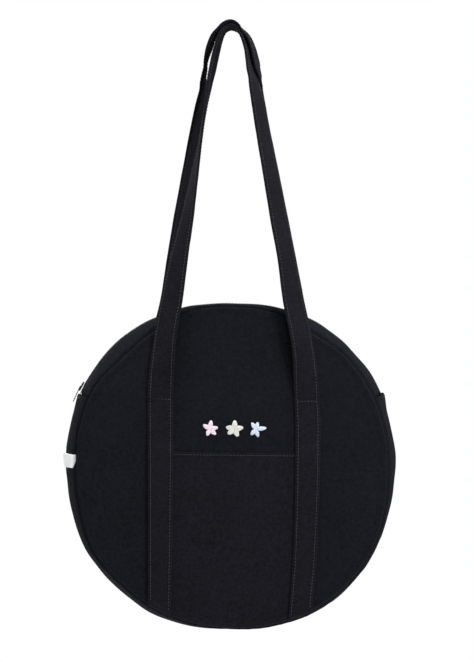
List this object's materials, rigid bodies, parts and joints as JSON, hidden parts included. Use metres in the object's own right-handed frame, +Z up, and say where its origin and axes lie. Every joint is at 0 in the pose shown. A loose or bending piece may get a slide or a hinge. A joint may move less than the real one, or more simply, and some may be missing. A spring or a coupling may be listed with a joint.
{
  "type": "circle tote bag",
  "caption": "Round flat-faced canvas bag that hangs by two long sewn-on shoulder handles, with a zipped side strip and a front patch pocket.",
  "frame": {"origin": "the point the bag hangs from: the underside of the front handle's bend, at its middle", "axes": "+Z up, +X to the right of someone who faces the front, +Y from the front to the back"},
  "size_m": [0.3765, 0.1013, 0.6879],
  "materials": {
    "canvas": "black plain-weave canvas",
    "strap": "black canvas strap, topstitched along both edges",
    "zip_tape": "black woven zip tape",
    "zip_coil": "black nylon coil",
    "slider": "black painted metal",
    "label": "white woven ribbon, blank",
    "thread_pink": "pale pink satin stitch",
    "thread_cream": "cream and pale green satin stitch",
    "thread_blue": "pale blue satin stitch"
  },
  "bodies": {
    "root": {"front_panel": "canvas", "back_panel": "canvas", "side_strip": "canvas", "zip_strip_front": "canvas", "zip_strip_back": "canvas", "front_pocket": "canvas", "front_handle": "strap", "back_handle": "strap", "zip_tape_front": "zip_tape", "zip_tape_back": "zip_tape", "zip_coil": "zip_coil", "zip_slider": "slider", "side_label": "label", "flower_pink": "thread_pink", "flower_cream": "thread_cream", "flower_blue": "thread_blue"}
  },
  "joints": []
}
